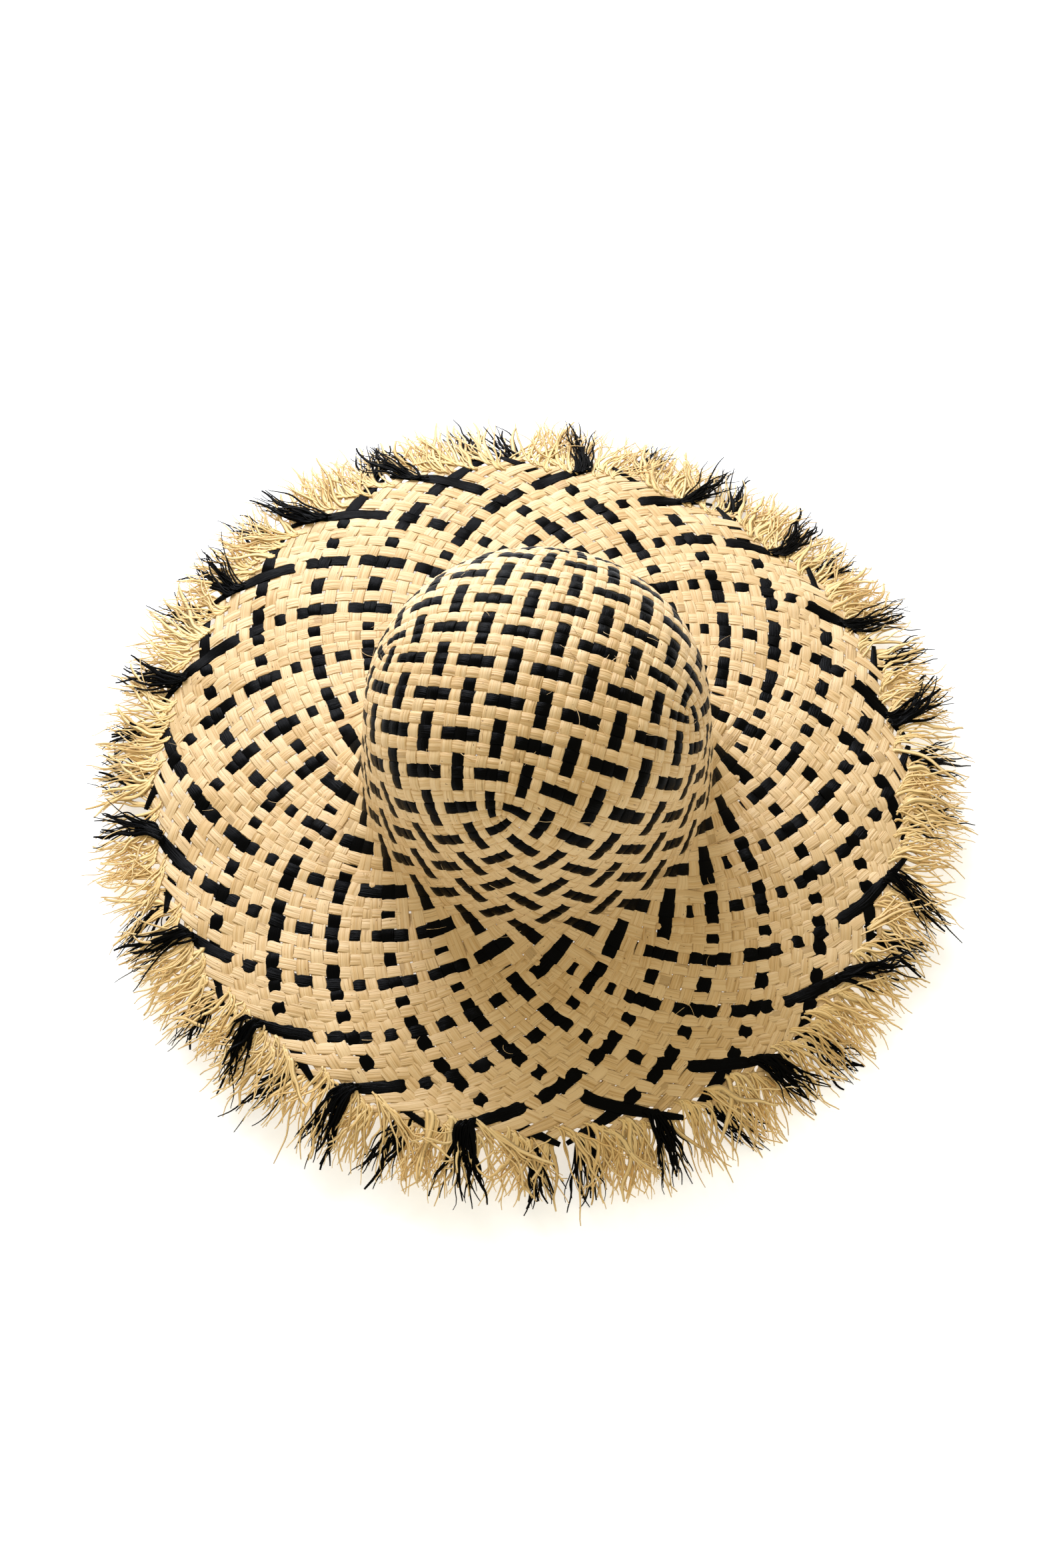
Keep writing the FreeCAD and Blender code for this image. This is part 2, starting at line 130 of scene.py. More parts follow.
def cloth_point(along, turn):
    """Point of the cloth's middle surface: the meridian turned about the axis, with its relief.

    The circle's middle moves steadily from the crown's axis to the rim's middle, over the origin.
    """
    radius = radius_at(along)
    middle = np.clip((along - FLARE_END) / BRIM_WIDTH, 0.0, 1.0) - 1.0
    height = apex_height - np.interp(along, stations, drops) + relief(along, turn)
    return np.stack([radius * np.cos(turn) + RIM_SHIFT[0] * middle,
                     radius * np.sin(turn) + RIM_SHIFT[1] * middle, height], axis=-1)


def cloth_normal(along, turn):
    """Outward unit normal: the cross product of the surface's two tangents by small differences."""
    down = cloth_point(along + 0.05, turn) - cloth_point(along - 0.05, turn)
    across = cloth_point(along, turn + 0.0005) - cloth_point(along, turn - 0.0005)
    normal = np.cross(down, across)
    return normal / np.linalg.norm(normal, axis=-1, keepdims=True)


# -------------------------------------------------------------------------- how the strands run
# Two families of strands cross the crown's top as a square plain weave. Four weaving corners on the
# shoulder turn them into left and right spirals that run down the wall and out across the brim.
HALF_STRANDS, BLACK_EVERY, FIRST_BLACK = 15, 3, 1.5
CROWN_PITCH, CORNER_TURN = 6.55, math.radians(257.0)
WALL_ANGLE, RIM_ANGLE, SPIRAL_GROWTH = 45.0, 65.0, 1.5
PER_CROSSING = 6
HEADLINE, ADDED_FROM, SETTLED = FLARE_END - 9.0, FLARE_END - 1.0, FLARE_END + 16.0
LAST_ROW, NARROWING_FROM, LATTICE_END = RIM - 2.0, RIM - 4.0, RIM + 7.0
ADDED_WIDTH, LATTICE_WIDTH = 0.4, 0.4

corner_reach = math.pi * math.sqrt(2.0) / 4.0
strand_step = corner_reach / HALF_STRANDS
flare_radius, rim_radius = radius_at(FLARE_END), radius_at(RIM)
spiral_share = np.maximum(radii - flare_radius, 0.0) / (rim_radius - flare_radius)
spiral_angles = np.radians(WALL_ANGLE + (RIM_ANGLE - WALL_ANGLE)
                           * np.minimum(spiral_share, 1.0) ** SPIRAL_GROWTH)
safe_radii = np.maximum(radii, 0.5)
twists = running_integral(np.tan(spiral_angles) / safe_radii, stations)
twists -= np.interp(FLARE_END, stations, twists)
stretch = running_integral(1.0 / safe_radii, stations)
stretch += (math.log(corner_reach / (HALF_STRANDS * CROWN_PITCH) * 4.0)
            - np.interp(4.0, stations, stretch))


def axis_crossings(indices):
    """Where the strands meet the axis: x whose integral of (1-x^4)^(-1/4) is the strand's share."""
    x = 1.0 - np.linspace(1.0, 0.0, 40001) ** 2
    middle = (x[1:] + x[:-1]) / 2
    reach = np.concatenate([[0.0], np.cumsum(np.diff(x) * (1.0 - middle ** 4) ** -0.25)])
    return np.sign(indices) * np.interp(np.abs(indices) * strand_step, reach, x)


def fourth_root(w, last):
    """The branch of (1-w^4)^(1/4) nearest to the last one, so that a path stays on its own sheet."""
    roots = np.array([1, 1j, -1, -1j])[:, None] * (1.0 - w ** 4) ** 0.25
    return roots[np.argmin(np.abs(roots - last), axis=0), np.arange(len(w))]


half_index, half_family, half_sense = (grid.ravel() for grid in np.meshgrid(
    np.arange(-HALF_STRANDS + 0.5, HALF_STRANDS), (0, 1), (1, -1), indexing="ij"))
half_black = np.abs(half_index) % BLACK_EVERY == FIRST_BLACK
w = axis_crossings(half_index) * np.where(half_family == 0, 1, 1j)
heading = half_sense * np.where(half_family == 0, 1j, 1)
root, paths, substeps = np.ones(len(w), complex), [w.copy()], 4
limit = math.exp(np.interp(FLARE_END, stations, stretch))
fine = strand_step / PER_CROSSING / substeps
for _ in range(PER_CROSSING * 60):
    for _ in range(substeps):
        first = fourth_root(w, root)
        second = fourth_root(w + heading * first * fine / 2, first)
        w = np.where(np.abs(w) < limit, w + heading * second * fine, w)
        root = fourth_root(w, second)
    paths.append(w.copy())
paths = np.array(paths)
path_along = np.interp(np.log(np.abs(paths)), stretch[5:], stations[5:])
path_turn = np.unwrap(np.angle(paths), axis=0) + CORNER_TURN
path_pitch = strand_step * np.abs(1.0 - paths ** 4) ** 0.25 * radius_at(path_along) / np.abs(paths)
half_over = (half_index + half_sense / 2) % 2 == half_family
at_headline = np.argmax(path_along >= HEADLINE, axis=0)
row = np.arange(len(half_index))
half_hand = np.sign(path_turn[at_headline, row] - path_turn[at_headline - 3, row])
half_turn = (path_turn[at_headline, row]
             - half_hand * np.interp(path_along[at_headline, row], stations, twists))

# ------------------------------------------------------------------- the strands added for the brim
# At the headline the weaver lays new natural strands in between the black ones, so that the weave
# stays tight as the brim grows wider: three or four stand between black ones instead of two.
GAP_PATTERN = (4, 5, 4, 4, 5) * 4
SLOTS = sum(GAP_PATTERN)
BLACK_STEP = 2 * math.pi / len(GAP_PATTERN)
WALL_PLACES = {4: (1, 3), 5: (1, 4)}

slots = {}
for hand in (1, -1):
    members = np.flatnonzero(half_hand == hand)
    members = members[np.argsort(half_turn[members] % (2 * math.pi))]
    members = np.roll(members, -int(np.argmax(half_black[members])))
    first_turn = half_turn[members[0]]
    source, wall_turn, brim_turn = [], [], []
    for number, gap in enumerate(GAP_PATTERN):
        trio = members[3 * number:3 * number + 3]
        taken = dict(zip((0, *WALL_PLACES[gap]), trio))
        for place in range(gap):
            turn = first_turn + BLACK_STEP * (number + place / gap)
            half = taken.get(place, -1)
            wall = turn
            if half >= 0:
                wall = turn + (half_turn[half] - turn + math.pi) % (2 * math.pi) - math.pi
            source.append(half)
            wall_turn.append(wall)
            brim_turn.append(turn if place else wall)
    slots[hand] = (np.array(source), np.array(wall_turn), np.array(brim_turn))


def settle(along):
    """Smooth step from 0 at the headline to 1 where the strands have found their brim places."""
    share = np.clip((along - HEADLINE) / (SETTLED - HEADLINE), 0.0, 1.0)
    return share * share * (3.0 - 2.0 * share)


(_, wall_plus, brim_plus), (_, wall_minus, brim_minus) = slots[1], slots[-1]
between = wall_minus[None, :] - wall_plus[:, None]
lowest = 2 * np.interp(HEADLINE, stations, twists)
between = (between - lowest) % (2 * math.pi) + lowest
shift = (brim_minus - wall_minus)[None, :] - (brim_plus - wall_plus)[:, None]
crossing_along = np.interp(between / 2, twists, stations)
for _ in range(8):
    crossing_along = np.interp((between + shift * settle(crossing_along)) / 2, twists, stations)
plus_over = (np.arange(SLOTS)[:, None] + np.arange(SLOTS)[None, :]) % 2 == 0

# The black ends that run away from the front and the back are brought up over the last rows, so each
# finishes in one long bar on top; the others pass below them. The family that spirals the positive way
# keeps a little clear of the front, back and sides, where the two would cross.
LAST_BAR, KEPT_CLEAR = 13.0, 0.15
rim_twist = np.interp(RIM, stations, twists)
on_top = {}
for hand in (1, -1):
    source, _, brim_turn = slots[hand]
    outward = hand * np.sin(2 * (brim_turn + hand * rim_twist)) < -KEPT_CLEAR * (1 + hand)
    on_top[hand] = (source >= 0) & half_black[source] & outward
near_rim = crossing_along > RIM - LAST_BAR
plus_over = np.where(near_rim & on_top[1][:, None] & ~on_top[-1], True, plus_over)
plus_over = np.where(near_rim & ~on_top[1][:, None] & on_top[-1], False, plus_over)
with_added = (slots[1][0] < 0)[:, None] | (slots[-1][0] < 0)[None, :]
woven = (crossing_along < LAST_ROW) & ~(with_added & (crossing_along < ADDED_FROM))


def strand_end(hand, slot):
    """Stations of one strand from its start to past the rim: along, turn, level and spacing.

    Level is +1 where it lies over and -1 where it lies under, with a cosine between two crossings.
    Past the last woven row the strand narrows and runs on as part of an open lattice.
    """
    source, wall_turn, brim_turn = (column[slot] for column in slots[hand])
    crossings = crossing_along[slot] if hand > 0 else crossing_along[:, slot]
    over = plus_over[slot] if hand > 0 else ~plus_over[:, slot]
    order = np.argsort(crossings)
    order = order[(woven[slot] if hand > 0 else woven[:, slot])[order]]
    crossings, levels = crossings[order], np.where(over[order], 1.0, -1.0)
    if source >= 0:
        count = at_headline[source]
        last = (count - PER_CROSSING // 2 - 1) // PER_CROSSING
        kept = slice(0, last * PER_CROSSING + PER_CROSSING // 2 + 1)
        along, turn = path_along[kept, source], path_turn[kept, source]
        number = np.arange(len(along)) / PER_CROSSING - 0.5
        start_level = 1.0 if half_over[source] else -1.0
        before = start_level * (-1.0) ** np.arange(last + 1)
        spacing = path_pitch[kept, source]
        wall_turn = turn[-1] - hand * np.interp(along[-1], stations, twists)
        brim_turn += round((wall_turn - brim_turn) / (2 * math.pi)) * 2 * math.pi
    else:
        last, before = 0, np.array([-levels[0]])
        along, turn, number, spacing = (np.zeros(0) for _ in range(4))
    first = along[-1] if len(along) else ADDED_FROM - 4.0
    places = np.concatenate([[first], crossings, [LATTICE_END]])
    steps = np.arange(1 if source >= 0 else 0, PER_CROSSING * (len(places) - 1) + 1) / PER_CROSSING
    outer = np.interp(steps, np.arange(len(places)), places)
    share = settle(outer)
    outer_turn = (wall_turn + (brim_turn - wall_turn) * share
                  + hand * np.interp(outer, stations, twists))
    around = 2 * math.pi * radius_at(outer) * np.cos(np.interp(outer, stations, spiral_angles))
    outer_spacing = around * ((1 - share) / (4 * HALF_STRANDS) + share / SLOTS)
    if source < 0:
        outer_spacing = outer_spacing * (ADDED_WIDTH + (1 - ADDED_WIDTH) * share)
    outer_spacing = outer_spacing * np.interp(outer, [NARROWING_FROM, LATTICE_END],
                                              [1.0, LATTICE_WIDTH])
    levels = np.concatenate([before, levels, [1.0 if hand > 0 or on_top[hand][slot] else -1.0]])
    numbers = np.concatenate([number, last + steps])
    low = np.clip(np.floor(numbers).astype(int), -1, len(levels) - 2)
    start, end = np.where(low < 0, -levels[0], levels[low]), levels[low + 1]
    level = (start + end) / 2 + (start - end) / 2 * np.cos(math.pi * (numbers - low))
    return (np.concatenate([along, outer]), np.concatenate([turn, outer_turn]), level,
            np.concatenate([spacing, outer_spacing]))


# ------------------------------------------------------------------------- one strand as a ribbon
# Each strand is a strip of split palm leaf, damp when it is woven, so it swells into a soft cushion
# where it lies on top and sinks where it passes under its neighbour.
COVER, BLACK_COVER = 0.97, 1.03
CROWN_CRIMP, BRIM_CRIMP = 0.56, 0.34
CROWN_BODY, BRIM_BODY = 0.60, 0.25
SIDE_WANDER, WIDTH_WANDER = 0.28, 0.06
SECTION = np.array([[-1.0, 0.0], [-0.82, 0.7], [0.0, 1.0], [0.82, 0.7],
                    [1.0, 0.0], [0.82, -0.7], [0.0, -1.0], [-0.82, -0.7]])


def wander(length, reach, period):
    """Slow random waver along a strand: three sines of growing frequency with random phases."""
    place = np.arange(length)[:, None] / PER_CROSSING / period * (1.0, 2.3, 4.9)
    return reach * np.sin(2 * math.pi * (place + rng.uniform(0, 1, 3))) @ (0.6, 0.4, 0.3)


def across_path(normal, centre):
    """Unit vectors square to a path in the surface: the normal crossed with the path's tangent."""
    side = np.cross(normal, np.gradient(centre, axis=0))
    return side / np.linalg.norm(side, axis=1, keepdims=True)


def ribbon(along, turn, level, width):
    """Closed ribbon along a path on the cloth: a lens-shaped section swept square to the path.

    The middle line is offset along the normal by the crimp times the level, the section is half the
    width across and the strand's half thickness high; width and side wander a little, as cut by hand.
    Returns points and their fibre coordinates.
    """
    normal = cloth_normal(along, turn)
    crimp = np.interp(along, [WALL_END, FLARE_END + 20.0], [CROWN_CRIMP, BRIM_CRIMP])
    centre = cloth_point(along, turn) + normal * (crimp * level)[:, None]
    side = across_path(normal, centre)
    centre = centre + side * wander(len(along), SIDE_WANDER, 9.0)[:, None]
    width = width * (1.0 + wander(len(along), WIDTH_WANDER, 5.0))
    thickness = np.interp(along, [WALL_END, FLARE_END + 20.0], [CROWN_BODY, BRIM_BODY])
    across, high = SECTION[:, 0], SECTION[:, 1]
    half = width[:, None] / 2 * across
    points = (centre[:, None] + side[:, None] * half[..., None]
              + normal[:, None] * (thickness[:, None] * high)[..., None])
    run = running_integral(np.ones(len(along)), np.concatenate(
        [[0.0], np.cumsum(np.linalg.norm(np.diff(centre, axis=0), axis=1))]))
    fibre = np.stack([half, np.broadcast_to(run[:, None], half.shape)], axis=-1)
    return points, fibre


def tube_mesh(name, tubes, tones):
    """One mesh from many closed tubes: quads between neighbouring rings and quads over both ends.

    Each tube is (points, fibre coordinates) with shape (stations, corners, ...); the corner count is
    4 or 8. The mesh keeps the fibre coordinates as a UV map and the tone as a number per point.
    """
    corners = tubes[0][0].shape[1]
    ring = np.arange(corners)
    following = np.roll(ring, -1)
    cap = np.array([[3, 2, 1, 0], [7, 4, 3, 0], [7, 6, 5, 4]][:3 if corners == 8 else 1])
    quads, start = [], 0
    for points, _ in tubes:
        count = len(points)
        base = start + np.arange(count - 1)[:, None] * corners
        quads.append(np.stack([base + ring, base + following, base + corners + following,
                               base + corners + ring], axis=-1).reshape(-1, 4))
        quads += [start + cap, (start + (count - 1) * corners + cap)[:, ::-1]]
        start += count * corners
    quads = np.concatenate(quads)
    points = np.concatenate([points.reshape(-1, 3) for points, _ in tubes])
    fibre = np.concatenate([fibre.reshape(-1, 2) for _, fibre in tubes])
    number = np.repeat(np.arange(len(tubes)), [points.shape[0] * corners for points, _ in tubes])
    fibre = fibre + np.stack([37.0 * number, 61.0 * (number % 17)], axis=-1)
    mesh = bpy.data.meshes.new(name)
    mesh.vertices.add(len(points))
    mesh.vertices.foreach_set("co", (points / 1000).ravel())
    mesh.loops.add(quads.size)
    mesh.loops.foreach_set("vertex_index", quads.ravel())
    mesh.polygons.add(len(quads))
    mesh.polygons.foreach_set("loop_start", np.arange(0, quads.size, 4))
    mesh.polygons.foreach_set("use_smooth", np.ones(len(quads), bool))
    mesh.update(calc_edges=True)
    mesh.uv_layers.new(name="fibre").data.foreach_set("uv", (fibre[quads.ravel()] / 1000).ravel())
    mesh.attributes.new("tone", "FLOAT", "POINT").data.foreach_set("value", np.asarray(tones)[number])
    mesh.validate()
    piece = bpy.data.objects.new(name, mesh)
    bpy.context.scene.collection.objects.link(piece)
    return piece


def end_of(index, family, sense):
    """The hand of the spiral and the slot in the brim where one end of a crown strand lies."""
    half = int(np.flatnonzero((half_index == index) & (half_family == family)
                              & (half_sense == sense))[0])
    hand = int(half_hand[half])
    return hand, int(np.flatnonzero(slots[hand][0] == half)[0])


def whole_strand(index, family, width_share):
    """The ribbon of a crown strand from rim to rim, its two halves joined at the crown's axis."""
    halves = [strand_end(*end_of(index, family, sense)) for sense in (-1, 1)]
    joined = [np.concatenate([back[:0:-1], fore]) for back, fore in zip(*halves)]
    along, turn, level, spacing = joined
    jump = round((halves[0][1][0] - halves[1][1][0]) / (2 * math.pi)) * 2 * math.pi
    turn[:len(halves[0][0]) - 1] -= jump
    return ribbon(along, turn, level, spacing * width_share)


# -------------------------------------------------------------------------------- natural raffia
# The pale strands are undyed raffia: straw-coloured strips with fine fibres along them, a few darker
# fibres and specks, and a slightly different shade from strip to strip.
STRAW = (0.89, 0.675, 0.395), (0.76, 0.527, 0.257), (0.57, 0.365, 0.15)
TONE_REACH, SPLIT_WIDTH, SPLIT_DEPTH = 0.28, 0.012, 0.6
SPECKS_FROM, SPECK_COLOUR = 0.735, (0.22, 0.12, 0.05, 1.0)
WIDTH_SPREAD = 0.05


class Nodes:
    """A material's node tree with short calls to add a node, set its inputs and link its outputs."""

    def __init__(self, name):
        self.material = bpy.data.materials.new(name)
        self.material.use_nodes = True
        self.tree = self.material.node_tree
        self.shader = self.tree.nodes["Principled BSDF"]

    def add(self, kind, settings=None, **inputs):
        node = self.tree.nodes.new(kind)
        for key, value in (settings or {}).items():
            setattr(node, key, value)
        for key, value in inputs.items():
            self.put(node, key.replace("_", " "), value)
        return node

    def put(self, node, key, value):
        socket = node.inputs[int(key)] if key.isdigit() else node.inputs[key]
        if isinstance(value, bpy.types.NodeSocket):
            self.tree.links.new(value, socket)
        else:
            socket.default_value = value

    def maths(self, operation, *values):
        """The result of one Math node on values or sockets."""
        sockets = {str(number): value for number, value in enumerate(values)}
        return self.add("ShaderNodeMath", {"operation": operation}, **sockets).outputs[0]

    def streaks(self, across, lengthways, detail=3.0):
        """Noise drawn out along the fibres: many changes a metre across, few lengthways."""
        place = self.add("ShaderNodeUVMap", {"uv_map": "fibre"})
        drawn = self.add("ShaderNodeMapping", Vector=place.outputs["UV"],
                         Scale=(across, lengthways, 1.0))
        return self.add("ShaderNodeTexNoise", Vector=drawn.outputs["Vector"], Scale=1.0,
                        Detail=detail, Roughness=0.6).outputs["Fac"]

    def ramp(self, factor, *stops):
        """Colours at places from 0 to 1, given as (place, colour)."""
        node = self.add("ShaderNodeValToRGB", Fac=factor)
        elements = node.color_ramp.elements
        while len(elements) < len(stops):
            elements.new(0.5)
        for element, (place, colour) in zip(elements, stops):
            element.position = place
            element.color = (*colour, 1.0)
        return node.outputs["Color"]

    def mix(self, factor, first, second):
        """The first colour where the factor is 0 and the second where it is 1."""
        return self.add("ShaderNodeMix", {"data_type": "RGBA"},
                        **{"0": factor, "6": first, "7": second}).outputs[2]

    def finish(self, colour, bump, distance, strength=1.0, **settings):
        """Set the colour, the relief in metres and other inputs, and hand the material over."""
        self.put(self.shader, "Base Color", colour)
        raised = self.add("ShaderNodeBump", Height=bump, Distance=distance, Strength=strength)
        self.put(self.shader, "Normal", raised.outputs["Normal"])
        for key, value in settings.items():
            self.put(self.shader, key.replace("_", " "), value)
        return self.material


def straw_material(name, light, middle, dark):
    """Straw: streaks choose between three shades and the strip's tone shifts them.

    Thin split lines, where slow streaks pass their middle value, and small specks darken it.
    """
    nodes = Nodes(name)
    coarse, fine = nodes.streaks(750, 14, 1.0), nodes.streaks(2600, 40)
    fibres = nodes.maths("MULTIPLY_ADD", fine, 0.5, coarse)
    tone = nodes.add("ShaderNodeAttribute", {"attribute_name": "tone"}).outputs["Fac"]
    shifted = nodes.maths("MULTIPLY_ADD", tone, TONE_REACH, fibres)
    colour = nodes.ramp(shifted, (0.42, dark), (0.60, middle), (0.90, light))
    from_middle = nodes.maths("ABSOLUTE", nodes.maths("SUBTRACT", nodes.streaks(420, 7, 0.0), 0.5))
    split = nodes.maths("MULTIPLY", nodes.maths("LESS_THAN", from_middle, SPLIT_WIDTH), SPLIT_DEPTH)
    colour = nodes.mix(split, colour, (*(0.75 * channel for channel in dark), 1.0))
    specks = nodes.maths("GREATER_THAN", nodes.streaks(900, 260, 1.0), SPECKS_FROM)
    colour = nodes.mix(specks, colour, SPECK_COLOUR)
    return nodes.finish(colour, fibres, 0.0006, Roughness=0.46, Specular_IOR_Level=0.42)


natural = straw_material("natural_raffia", *STRAW)
natural_pieces = []
for family, letter in enumerate("ab"):
    for side, part in ((-1, "left"), (1, "right")):
        chosen = [index for index in np.unique(half_index)
                  if index * side > 0 and abs(index) % BLACK_EVERY != FIRST_BLACK]
        tubes = [whole_strand(index, family, COVER * (1 + WIDTH_SPREAD * rng.uniform(-1, 1)))
                 for index in chosen]
        tones = rng.uniform(-0.5, 0.5, len(tubes))
        natural_pieces.append(tube_mesh(f"natural_strands_{letter}_{part}", tubes, tones))
for hand, side in ((1, "right"), (-1, "left")):
    added = np.flatnonzero(slots[hand][0] < 0)
    tubes = []
    for slot in added:
        along, turn, level, spacing = strand_end(hand, slot)
        tubes.append(ribbon(along, turn, level, spacing * COVER))
    tones = rng.uniform(-0.5, 0.5, len(tubes))
    natural_pieces.append(tube_mesh(f"added_strands_{side}", tubes, tones))

# A few fibres have worked loose from the natural strips and stand off the weave as fine pale hairs.
# Each is a thread of raffia, still held at one end, that tapers to its tip.
LOOSE_FIBRES, LOOSE_STATIONS, LOOSE_TONE = 110, 9, 0.6
LOOSE_WIDTHS, LOOSE_LENGTHS, LOOSE_LIFTS = (0.25, 0.5), (5.0, 15.0), (0.5, 3.0)
DIAMOND = np.array([[-1.0, 0.0], [0.0, 1.0], [1.0, 0.0], [0.0, -1.0]])

hairs = []
share = np.linspace(0.0, 1.0, LOOSE_STATIONS)
for _ in range(LOOSE_FIBRES):
    root_along, root_turn = rng.uniform(20.0, RIM - 12.0), rng.uniform(0.0, 2 * math.pi)
    direction = rng.uniform(0.0, 2 * math.pi) + rng.normal(0.0, 0.5) * share
    run = rng.uniform(*LOOSE_LENGTHS) * share
    along = root_along + run * np.cos(direction)
    turn = root_turn + run * np.sin(direction) / radius_at(along)
    lift = 0.6 + rng.uniform(*LOOSE_LIFTS) * share ** 1.5
    normal = cloth_normal(along, turn)
    centre = cloth_point(along, turn) + normal * lift[:, None]
    half = rng.uniform(*LOOSE_WIDTHS) / 2 * (1 - 0.7 * share)
    wide, high = half[:, None] * DIAMOND[:, 0], half[:, None] * DIAMOND[:, 1]
    points = (centre[:, None] + across_path(normal, centre)[:, None] * wide[..., None]
              + normal[:, None] * high[..., None])
    hairs.append((points, np.stack([wide, np.broadcast_to(run[:, None], wide.shape)], axis=-1)))
natural_pieces.append(tube_mesh("loose_fibres", hairs, np.full(len(hairs), LOOSE_TONE)))
for piece in natural_pieces:
    piece.data.materials.append(natural)
    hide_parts("crown_cloth", "brim_cloth")
    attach(piece, "root")

# ------------------------------------------------------------------------------------- the fringe
# Beyond the last woven row every strand is left long and split by hand into fine fibres, which curl,
# spread and droop. The ends of the two families make an upper and a lower layer.
FIBRES_PER_END, FIBRE_STATIONS = 16, 18
FIBRE_WIDTH, FIBRE_THICKNESS = 1.5, 0.35
FRAY_START, FRAY_REACH, BUNDLE_WIDTH = RIM - 3.0, 8.0, 4.5
FRINGE_LEVEL, FRINGE_SPREAD, BUNDLE_SPREAD = 0.6, 19.0, 17.0
CURLS, CURL_TURNS = (4, 36), (0.4, 1.1)
KINKS, KINK_TURNS = (0, 20), (1.5, 3.5)
RISES, LEAVING_LENGTH, TABLE_CLEARANCE = (-6.0, 6.0), 5.0, 0.4
FRINGE_STRAW = (0.99, 0.76, 0.39), (0.95, 0.67, 0.29), (0.68, 0.42, 0.14)


def frayed_end(hand, turn, count, reach, level, spread):
    """Fibres of one split strand end, each a thin tapering strip on a curling path.

    A fibre leaves its strand at a random place on the last few millimetres. The path's angle from the
    radial starts as the strand's own and decays to the fibre's own lean plus a curl that grows
    outwards; steps follow that angle, and the tip lifts or sinks by a square law.
    """
    share = np.linspace(0.0, 1.0, FIBRE_STATIONS)
    start = FRAY_START + rng.uniform(0.0, reach, count)
    own = (FRINGE_LENGTH + FRAY_START - start) * (1 + 0.14 * rng.standard_normal(count))
    bundle = rng.normal(0.0, BUNDLE_SPREAD)
    lean = np.radians(bundle + spread * rng.standard_normal(count))
    curl = np.radians(rng.uniform(*CURLS, count))
    kink, kinks = np.radians(rng.uniform(*KINKS, count)), rng.uniform(*KINK_TURNS, count)
    phase, turns = rng.uniform(0, 2 * math.pi, count), rng.uniform(*CURL_TURNS, count)
    across = np.linspace(-0.5, 0.5, count) * BUNDLE_WIDTH
    rise = rng.uniform(*RISES, count)
    step = own[:, None] / (FIBRE_STATIONS - 1) * np.ones(FIBRE_STATIONS)
    travel = own[:, None] * share
    fading = np.exp(-travel / LEAVING_LENGTH)
    angle = (math.radians(RIM_ANGLE) * hand * fading + lean[:, None] * (1 - fading)
             + curl[:, None] * share * np.sin(phase[:, None] + 2 * math.pi * turns[:, None] * share)
             + kink[:, None] * np.sin(2 * phase[:, None] + 2 * math.pi * kinks[:, None] * share))
    along = start[:, None] + np.cumsum(step * np.cos(angle), axis=1) - step * np.cos(angle)
    sideways = np.cumsum(step * np.sin(angle), axis=1) + across[:, None]
    leaving = turn + hand * np.interp(start, stations, twists)
    place = leaving[:, None] + sideways / radius_at(along)
    tubes = []
    for k in range(count):
        normal = cloth_normal(along[k], place[k])
        centre = cloth_point(along[k], place[k]) + normal * (level + rise[k] * share ** 2)[:, None]
        centre[:, 2] = np.maximum(centre[:, 2], TABLE_CLEARANCE)
        side = across_path(normal, centre)
        taper = FIBRE_WIDTH * (1 - 0.65 * share ** 2) * rng.uniform(0.6, 1.1)
        taper = taper * (1 + (rng.random() < 0.15))
        half = taper[:, None] / 2 * DIAMOND[:, 0]
        points = (centre[:, None] + side[:, None] * half[..., None]
                  + normal[:, None] * (FIBRE_THICKNESS / 2 * DIAMOND[:, 1])[..., None])
        run = np.broadcast_to((own[k] * share)[:, None], half.shape)
        tubes.append((points, np.stack([half, run], axis=-1)))
    return tubes


golden = straw_material("golden_fringe", *FRINGE_STRAW)
for hand, name, level in ((1, "fringe_upper", FRINGE_LEVEL), (-1, "fringe_lower", -FRINGE_LEVEL)):
    source, _, brim_turn = slots[hand]
    tubes = []
    for slot in range(SLOTS):
        if source[slot] >= 0 and half_black[source[slot]]:
            continue
        tubes += frayed_end(hand, brim_turn[slot], FIBRES_PER_END, FRAY_REACH, level, FRINGE_SPREAD)
    piece = tube_mesh(f"{name}_fibres", tubes, rng.uniform(-0.5, 0.6, len(tubes)))
    piece.data.materials.append(golden)
    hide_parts(name)
    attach(piece, "root")

# --------------------------------------------------------------------------------- black strands
# Every third strand is dyed black in both families. They lie in the same weave as the pale ones, so
# they show as single squares on the brim and as pinwheels of short bars on the crown.
BLACK_DEEP, BLACK_FIBRE = (0.0002, 0.0003, 0.0004), (0.001, 0.0015, 0.0025)
TUFT_FIBRES, TUFT_REACH, TUFT_SPREAD = 20, 3.5, 8.0
TUFT_ABOVE, TUFT_BELOW = 1.9, -1.2

dyed = Nodes("black_raffia")
dyed_streaks = dyed.streaks(1700, 22)
dyed_colour = dyed.ramp(dyed_streaks, (0.35, BLACK_DEEP), (0.75, BLACK_FIBRE))
black = dyed.finish(dyed_colour, dyed_streaks, 0.0004, Roughness=0.26, Specular_IOR_Level=0.05)

for family, letter in enumerate("ab"):
    black_indices = [index for index in np.unique(half_index)
                     if abs(index) % BLACK_EVERY == FIRST_BLACK]
    for number, index in enumerate(black_indices, start=1):
        name = f"black_strand_{letter}{number:02d}"
        body = tube_mesh(name + "_woven", [whole_strand(index, family, BLACK_COVER)], [0.0])
        tubes = []
        for sense in (-1, 1):
            hand, slot = end_of(index, family, sense)
            level = TUFT_ABOVE if on_top[hand][slot] else TUFT_BELOW
            tubes += frayed_end(hand, slots[hand][2][slot], TUFT_FIBRES, TUFT_REACH, level, TUFT_SPREAD)
        tuft = tube_mesh(name + "_tufts", tubes, np.zeros(len(tubes)))
        for piece in (body, tuft):
            piece.data.materials.append(black)
            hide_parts(name)
            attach(piece, "root")

